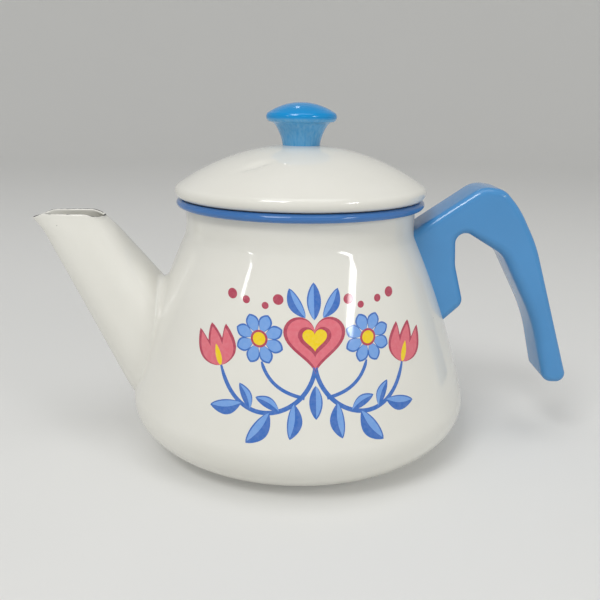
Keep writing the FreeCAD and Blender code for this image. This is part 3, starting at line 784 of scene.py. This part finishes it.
def spray():
    """A heart between two curved stems with tulips, daisies, leaves and dots, as patches by colour."""
    half = {name: [] for name in ("rose", "dark_rose", "blue", "light_blue", "yellow")}
    stem = bezier([(0, -8), (3, -30), (36, -40), (44, -9)], 40)
    branch = bezier([(5, -21.5), (12, -20), (21, -17), (24, -6)], 16)
    half["blue"] += [(1, ribbon(stem, 2.0)), (1, ribbon(branch, 1.6))]
    tulip((44, -10), 74, half)
    leaves = ((12, -1, 16), (17, 1, 12), (20, -1, 18), (26, 1, 12), (29, -1, 16))
    for place, turned_to, size in leaves:
        ahead = stem[place + 1] - stem[place - 1]
        heading = degrees(atan2(ahead[1], ahead[0])) + turned_to * 46
        two_tone_leaf(stem[place], heading, size, size * 0.42, 0.08 * turned_to, half)
    daisy = np.array((25.0, 4.0))
    for heading in range(22, 382, 45):
        out = daisy + 2.0 * toward(radians(heading))
        half["blue"].append((2, almond(out, heading, 9.6, 6.2, 0.0, 1.5)))
        half["light_blue"].append((3, almond(out, heading, 8.8, 4.9, 0.0, 1.5)))
    half["dark_rose"].append((4, disc(daisy, 3.9)))
    half["yellow"].append((5, disc(daisy, 2.9)))
    for x, y, radius in ((38, 23, 2.4), (31, 21, 1.8), (16, 22, 2.4), (22, 19, 1.6)):
        half["dark_rose"].append((1, disc((x, y), radius)))
    two_tone_leaf((4, 14), 62, 15, 6.0, -0.08, half)
    patches = {name: mirrored(found) for name, found in half.items()}
    patches["dark_rose"] += [(1, heart((0, 4), 28)), (3, heart((0, 4.4), 15))]
    patches["rose"] += [(2, heart((0, 4.2), 24.8))]
    patches["yellow"] += [(4, heart((0, 4.8), 11))]
    two_tone_leaf((0, 13), 90, 17, 6.4, 0.0, patches)
    two_tone_leaf((0, -16), 270, 15, 6.0, 0.0, patches)
    return patches


def printed(patch, layer, spot, side):
    """A flat patch wrapped on the wall: up along the outline, across along the round, edges under the glaze."""
    run = run_along(side)
    along = np.interp(spot.height, side[:, 1], run) + patch[..., 1] * MM
    radius, height = np.interp(along, run, side[:, 0]), np.interp(along, run, side[:, 1])
    angle = spot.aside - pi / 2 + patch[..., 0] * MM / radius
    points = np.stack([radius * np.cos(angle), radius * np.sin(angle), height], axis=-1)
    points = points[:, np.r_[0, 0:patch.shape[1], -1]]
    lift = np.full(points.shape[1], layer * spot.film)
    lift[[0, -1]] = -spot.film
    return points + pot_normal(side, points) * lift[None, :, None]


# Finishes

GLASS_IOR, RESIN_IOR, RUBBER_IOR = 1.52, 1.5, 1.52
KNOB_STREAK, HANDLE_STREAK = (1.0, 1.0, 0.06), (1.0, 1.0, 0.3)  # scratches drawn out along Z, and on the knob its painted sheen streaks


def add(tree, kind, inputs=None, out=None, **settings):
    """Adds a node with its settings and links, and gives the named output or else the first in use."""
    node = tree.nodes.new("ShaderNode" + kind)
    for name, value in settings.items():
        setattr(node, name, value)
    for name, value in (inputs or {}).items():
        if isinstance(value, bpy.types.NodeSocket):
            tree.links.new(value, node.inputs[name])
        else:
            node.inputs[name].default_value = value
    return node.outputs[out] if out else next((socket for socket in node.outputs if socket.enabled), None)


def finish(name, **sockets):
    """A new material, its node adder, its shader with plain values set on it, and its Object coordinates."""
    made = bpy.data.materials.new(name)
    made.use_nodes = True
    made.node_tree.nodes.clear()
    put = partial(add, made.node_tree)
    shader = put("BsdfPrincipled", {key.replace("_", " "): value for key, value in sockets.items()})
    put("OutputMaterial", {"Surface": shader})
    return made, put, shader.node, put("TexCoord", out="Object")


def drive(shader, **sockets):
    """Links outputs to a shader's sockets."""
    for key, value in sockets.items():
        shader.id_data.links.new(value, shader.inputs[key.replace("_", " ")])


def rgba(colour, share=1.0):
    """A colour scaled by a share, with full cover."""
    return (*(share * part for part in colour), 1.0)


def per_size(millimetres):
    """A texture scale whose pattern repeats about once in a length."""
    return 1 / (millimetres * MM)


def grained(name, colour, low, high, size, detail, **sockets):
    """A material whose colour runs between two shares of itself, in noise of a size in millimetres."""
    made, put, shader, place = finish(name, **sockets)
    grain = put("TexNoise", {"Vector": place, "Scale": per_size(size), "Detail": detail})
    drive(shader, Base_Color=put("Mix", {
        "Factor": grain, "A": rgba(colour, low), "B": rgba(colour, high)}, data_type="RGBA"))
    return made, put, shader, grain


def vitreous_enamel(name, colour, thin, ground, chips_and_lip_shade=False):
    """Fired glass coat on steel: deep gloss, faint orange peel, slow changes of tone and a few pinholes."""
    made, put, shader, place = finish(name, IOR=GLASS_IOR, Specular_IOR_Level=0.5)
    cloud = put("TexNoise", {"Vector": place, "Scale": per_size(38), "Detail": 3.0})
    tone = put("Mix", {"Factor": cloud, "A": rgba(thin), "B": rgba(colour)}, data_type="RGBA")
    cells = put("TexVoronoi", {"Vector": place, "Scale": per_size(17)})
    pinhole = put("MapRange", {
        "Value": cells, "From Min": 0.014, "From Max": 0.024, "To Min": 0.75, "To Max": 0.0})
    surface = put("Mix", {"Factor": pinhole, "A": tone, "B": rgba(ground)}, data_type="RGBA")
    gloss = put("TexNoise", {"Vector": place, "Scale": per_size(9), "Detail": 4.0})
    rough = put("MapRange", {
        "Value": gloss, "From Min": 0.3, "From Max": 0.7, "To Min": 0.05, "To Max": 0.1})
    # Ground colour along the edge share in ragged noise: real chips, and a painted shadow line along the
    # spout's lip.
    if chips_and_lip_shade:
        edge = put("Attribute", out="Fac", attribute_name="edge")
        ragged = put("TexNoise", {"Vector": place, "Scale": per_size(4.5), "Detail": 5.0})
        chips_and_shade = put("Math", {0: edge, 1: ragged}, operation="MULTIPLY")
        bare_and_shaded = put("MapRange", {"Value": chips_and_shade, "From Min": 0.43, "From Max": 0.48})
        surface = put("Mix", {"Factor": bare_and_shaded, "A": surface, "B": rgba(ground)}, data_type="RGBA")
        rough = put("MapRange", {"Value": bare_and_shaded, "To Min": 0.08, "To Max": 0.6})
    peel = put("TexNoise", {"Vector": place, "Scale": per_size(11), "Detail": 2.0})
    relief = put("Bump", {"Height": peel, "Strength": 0.25, "Distance": 0.12 * MM})
    drive(shader, Base_Color=surface, Roughness=rough, Normal=relief)
    return made


def fired_print(name, colour):
    """Ceramic ink fired into the glaze: even colour with a faint screen grain under the same gloss.

    The grain is drawn coarser than a real screen's, so that it shows.
    """
    made, put, shader, place = finish(name, IOR=GLASS_IOR, Roughness=0.09)
    grain = put("TexNoise", {"Vector": place, "Scale": per_size(1.6), "Detail": 3.0})
    shade = put("MapRange", {
        "Value": grain, "From Min": 0.35, "From Max": 0.8, "To Min": 0.0, "To Max": 0.35})
    paler = tuple(0.82 * part + 0.18 for part in colour)
    ink = put("Mix", {"Factor": shade, "A": rgba(colour), "B": rgba(paler)}, data_type="RGBA")
    drive(shader, Base_Color=ink)
    return made


def moulded_plastic(name, colour, streak, sheen_below=None, painted_sheen=None):
    """Pressed thermoset: soft sheen, slow flow marks, fine handling scratches along one direction.

    The scratches are drawn coarser than real ones, so that they show. Below a height it can get painted
    sheen: a paler tone in streaks that stands in for lit sheen and glints.
    """
    made, put, shader, place = finish(name, IOR=RESIN_IOR)
    stretched = put("Mapping", {"Vector": place, "Scale": streak})
    flow = put("TexNoise", {"Vector": place, "Scale": per_size(26), "Detail": 4.0})
    surface = put("Mix", {"Factor": flow, "A": rgba(colour, 0.84), "B": rgba(colour)}, data_type="RGBA")
    scratch = put("TexNoise", {"Vector": stretched, "Scale": per_size(4.0), "Detail": 2.0})
    rough = put("MapRange", {
        "Value": scratch, "From Min": 0.3, "From Max": 0.7, "To Min": 0.12, "To Max": 0.19})
    relief = put("Bump", {"Height": scratch, "Strength": 0.06, "Distance": 0.02 * MM})
    # Painted sheen: below the height the colour turns paler in vertical streaks, standing in for lit sheen and
    # glints.
    if sheen_below:
        height = put("SeparateXYZ", {"Vector": place}, out="Z")
        sheen_band = put("MapRange", {"Value": height, "From Min": sheen_below, "From Max": sheen_below - MM})
        sheen_streaks = put("TexNoise", {"Vector": stretched, "Scale": per_size(1.2)})
        sheen_amount = put("Math", {0: sheen_band, 1: sheen_streaks}, operation="MULTIPLY")
        surface = put("Mix", {"Factor": sheen_amount, "A": surface, "B": rgba(painted_sheen)}, data_type="RGBA")
    drive(shader, Base_Color=surface, Roughness=rough, Normal=relief)
    return made


def plated_metal(name, colour):
    """Zinc-plated or turned metal: a slightly cloudy shine and fine tool marks, drawn coarse enough to show."""
    made, put, shader, lines = grained(name, colour, 0.72, 1.0, 0.7, 5.0, Metallic=1.0)
    drive(shader, Roughness=put("MapRange", {"Value": lines, "To Min": 0.22, "To Max": 0.5}))
    return made


def moulded_rubber(name, colour):
    """Moulded gasket: dull, with a fine bloom."""
    return grained(name, colour, 1.0, 1.5, 1.5, 4.0, IOR=RUBBER_IOR, Roughness=0.75)[0]


def studio_paper(name, colour):
    """Matte paper for the floor and backdrop, with a low even glow that keeps the far side pale."""
    glow = {"Emission_Color": rgba(colour), "Emission_Strength": 0.17}
    return grained(name, colour, 0.98, 1.0, 300, 3.0, Roughness=0.9, **glow)[0]


def dress(made, material, body=None, replaces=None):
    """Gives a piece its finish and, where it is new, its body and the node that it stands for."""
    made.data.materials.clear()
    made.data.materials.append(material)
    if body:
        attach(made, body)
    if replaces:
        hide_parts(replaces)


# Operators

class KETTLE_OT_pot(bpy.types.Operator):
    """Glazes the pot and its rolled rim"""

    bl_idname = "kettle.pot"
    bl_label = "Pot and Rim"

    def execute(self, context):
        colours = context.scene.kettle_colours
        pot, spout = context.scene.kettle_pot, context.scene.kettle_spout
        white = vitreous_enamel("white vitreous enamel", colours.enamel, colours.enamel_thin, colours.ground)
        darker = rgba(colours.rim, 0.85)[:3]
        blue = vitreous_enamel("blue vitreous enamel", colours.rim, darker, colours.ground)
        made = piece("pot_glazed", turned(pot_sheet(pot), POT_STEPS))
        cut(made, piece("strainer_pins", *strainer_pins(pot, spout)))
        dress(made, white, "pot", "body_shell")
        dress(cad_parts["lid_skirt"], white)
        dress(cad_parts["mouth_rim"], blue)
        return {"FINISHED"}


class KETTLE_OT_spout(bpy.types.Operator):
    """Builds the spout with its fillet, curled lip, chipped edge and a painted shadow line along the lip"""

    bl_idname = "kettle.spout"
    bl_label = "Spout"

    def execute(self, context):
        scene, colours = context.scene, context.scene.kettle_colours
        points, chip_and_shade_rows = spout_points(scene.kettle_spout, scene.kettle_pot, pot_side(scene.kettle_pot))
        rows, columns = points.shape[:2]
        closed = grid_faces(rows + 1, columns, True) % (rows * columns)
        made = piece("spout_glazed", points, closed, SPOUT_SHARP)
        # Each point's share of chips and painted lip shade.
        edge = made.data.attributes.new("edge", "FLOAT", "POINT")
        edge.data.foreach_set("value", np.repeat(chip_and_shade_rows, columns).astype(np.float32))
        coats = colours.enamel, colours.enamel_thin, colours.ground
        enamel = vitreous_enamel("chipped white enamel", *coats, chips_and_lip_shade=True)
        dress(made, enamel, "pot", "spout")
        return {"FINISHED"}


class KETTLE_OT_print(bpy.types.Operator):
    """Lays the fired-on spray on the front of the pot"""

    bl_idname = "kettle.print"
    bl_label = "Printed Spray"

    def execute(self, context):
        scene, colours = context.scene, context.scene.kettle_colours
        spot, side = scene.kettle_print, pot_side(scene.kettle_pot)
        for name, patches in spray().items():
            points, faces, count = [], [], 0
            for layer, patch in patches:
                laid = printed(patch, layer, spot, side)
                points.append(laid.reshape(-1, 3))
                faces.append(grid_faces(*laid.shape[:2], False) + count)
                count += laid.shape[0] * laid.shape[1]
            made = piece("print_" + name, np.vstack(points), np.vstack(faces))
            ink = fired_print("fired " + name.replace("_", " ") + " print", getattr(colours, name))
            dress(made, ink, "pot")
        return {"FINISHED"}


class KETTLE_OT_lid(bpy.types.Operator):
    """Builds the domed lid with its dent"""

    bl_idname = "kettle.lid"
    bl_label = "Lid"

    def execute(self, context):
        scene, lid = context.scene, context.scene.kettle_lid
        profile = lid_profile(lid, scene.kettle_pot.wall)
        made = piece("lid_glazed", dented(turned(np.vstack([profile, profile[:1]]), LID_STEPS), lid))
        dress(made, bpy.data.materials["white vitreous enamel"], "lid", "lid_shell")
        return {"FINISHED"}


class KETTLE_OT_knob(bpy.types.Operator):
    """Builds the knob"""

    bl_idname = "kettle.knob"
    bl_label = "Knob"

    def execute(self, context):
        knob, colours = context.scene.kettle_knob, context.scene.kettle_colours
        made = piece("knob_moulded", turned(knob_profile(knob), KNOB_STEPS))
        # Below the brim's middle the knob gets painted sheen in paler streaks.
        brim = LID_TOP.z + knob.neck_height + knob.flare + knob.brim / 2
        plastic = moulded_plastic("moulded knob plastic", colours.knob, KNOB_STREAK, brim, colours.painted_sheen)
        dress(made, plastic, "lid", "knob")
        return {"FINISHED"}


class KETTLE_OT_handle(bpy.types.Operator):
    """Builds the moulded handle, cut to the wall and bored for its screw"""

    bl_idname = "kettle.handle"
    bl_label = "Handle"

    def execute(self, context):
        scene, handle = context.scene, context.scene.kettle_handle
        side = pot_side(scene.kettle_pot, 0.0, MESH_RUNS)
        points = handle_points(handle, np.array([pot_radius(side, handle.seat), handle.seat]))
        count, last = points.shape[1], points.size // 3
        made = piece("handle_moulded", points, caps=(range(count), range(last - count, last)))
        core = np.vstack([[(0, 0)], side, [(0, side[-1, 1])]])
        cut(made, piece("pot_core", turned(core, POT_STEPS)))
        cut(made, piece("screw_bore", counterbore(side, handle)))
        plastic = moulded_plastic("moulded handle plastic", scene.kettle_colours.handle, HANDLE_STREAK)
        dress(made, plastic, "pot", "handle")
        return {"FINISHED"}


class KETTLE_OT_fittings(bpy.types.Operator):
    """Finishes the bracket, screws, washers, insert and gasket"""

    bl_idname = "kettle.fittings"
    bl_label = "Fittings"

    def execute(self, context):
        colours = context.scene.kettle_colours
        steel = plated_metal("zinc-plated steel", colours.steel)
        for node in ("handle_bracket", "handle_washer", "handle_screw", "knob_washer", "knob_screw"):
            dress(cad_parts[node], steel)
        dress(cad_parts["knob_insert"], plated_metal("turned brass", colours.brass))
        dress(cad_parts["knob_gasket"], moulded_rubber("moulded rubber", colours.rubber))
        return {"FINISHED"}


# Studio

# Name, place, width and height in metres, watts, and lean in degrees of each lamp.
LAMPS = (
    ("overhead softbox", (0.0, -0.35, 1.5), (1.3, 1.0), 6.0, 0.0),
    ("front softbox", (-0.7, -1.35, 1.75), (0.8, 0.55), 16.0, 0.0),
    ("back lamp", (-0.07, 0.83, 0.98), (0.07, 0.04), 0.12, 0.0),
    ("right strip", (0.687, -0.68, 0.518), (0.075, 0.32), 1.5, -50.0),
    ("left strip", (-0.707, -0.633, 0.559), (0.035, 0.14), 0.22, -20.0),
)
LAMP_TARGET = Vector((0.0, 0.0, 0.08))
WORLD_STRENGTH = 0.3
SWEEP_STEPS, STRAIGHT_POINTS, CURVE_POINTS = 128, 6, 24
FLOOR_DROP = 0.1 * MM  # floor below the foot ring


def softbox(name, place, size, power, lean):
    """A rectangular lamp facing the target, its top leant to the right by degrees as the target sees it."""
    lamp = bpy.data.lights.new(name, "AREA")
    lamp.shape = "RECTANGLE"
    lamp.size, lamp.size_y = size
    lamp.energy = power
    made = bpy.data.objects.new(name, lamp)
    made.location = place
    facing = (LAMP_TARGET - Vector(place)).to_track_quat("-Z", "Y").to_matrix()
    made.rotation_euler = (facing @ Matrix.Rotation(radians(lean), 3, "Z")).to_euler()
    bpy.context.scene.collection.objects.link(made)


class KETTLE_OT_stage(bpy.types.Operator):
    """Sets the floor, backdrop, lamps and camera"""

    bl_idname = "kettle.stage"
    bl_label = "Studio"

    def execute(self, context):
        scene, studio = context.scene, context.scene.kettle_studio
        edge = studio.floor + studio.curve
        sweep = np.vstack([
            straight((0.0, -FLOOR_DROP), (studio.floor, -FLOOR_DROP), STRAIGHT_POINTS),
            arc((studio.floor, studio.curve), studio.curve, -pi / 2, 0, CURVE_POINTS)[1:],
            straight((edge, studio.curve), (edge, studio.wall), STRAIGHT_POINTS)[1:],
        ])
        floor = piece("studio_sweep", turned(sweep, SWEEP_STEPS))
        dress(floor, studio_paper("matte studio paper", scene.kettle_colours.floor))
        for lamp in LAMPS:
            softbox(*lamp)

        world = bpy.data.worlds.new("studio world")
        world.use_nodes = True
        world.node_tree.nodes.clear()
        glow = add(world.node_tree, "Background", {"Color": rgba((1, 1, 1)), "Strength": WORLD_STRENGTH})
        add(world.node_tree, "OutputWorld", {"Surface": glow})
        scene.world = world

        lens = bpy.data.cameras.new("camera")
        lens.lens, lens.sensor_width, lens.sensor_fit = studio.lens, studio.sensor, "HORIZONTAL"
        camera = bpy.data.objects.new("camera", lens)
        tilt = Matrix.Rotation(pi / 2 - studio.pitch, 4, "X") @ Matrix.Rotation(studio.roll, 4, "Z")
        camera.matrix_world = Matrix.Translation((studio.aside, -studio.distance, studio.height)) @ tilt
        scene.collection.objects.link(camera)
        scene.camera = camera
        scene.view_settings.view_transform = "Standard"
        return {"FINISHED"}


class KETTLE_PT_panel(bpy.types.Panel):
    """Lists the kettle's operators"""

    bl_idname = "KETTLE_PT_panel"
    bl_label = "Enamelled Kettle"
    bl_space_type = "VIEW_3D"
    bl_region_type = "UI"
    bl_category = "Kettle"

    def draw(self, context):
        for operator in OPERATORS:
            self.layout.operator(operator.bl_idname)


OPERATORS = (
    KETTLE_OT_stage,
    KETTLE_OT_pot,
    KETTLE_OT_spout,
    KETTLE_OT_print,
    KETTLE_OT_lid,
    KETTLE_OT_knob,
    KETTLE_OT_handle,
    KETTLE_OT_fittings,
)


def register():
    for name, group in GROUPS.items():
        bpy.utils.register_class(group)
        setattr(bpy.types.Scene, name, PointerProperty(type=group))
    for made in (*OPERATORS, KETTLE_PT_panel):
        bpy.utils.register_class(made)


def unregister():
    for made in (KETTLE_PT_panel, *reversed(OPERATORS)):
        bpy.utils.unregister_class(made)
    for name, group in GROUPS.items():
        delattr(bpy.types.Scene, name)
        bpy.utils.unregister_class(group)


def main():
    register()
    bpy.ops.kettle.stage()
    bpy.ops.kettle.pot()
    bpy.ops.kettle.spout()
    bpy.ops.kettle.print()
    bpy.ops.kettle.lid()
    bpy.ops.kettle.knob()
    bpy.ops.kettle.handle()
    bpy.ops.kettle.fittings()


if __name__ == "__main__":
    main()
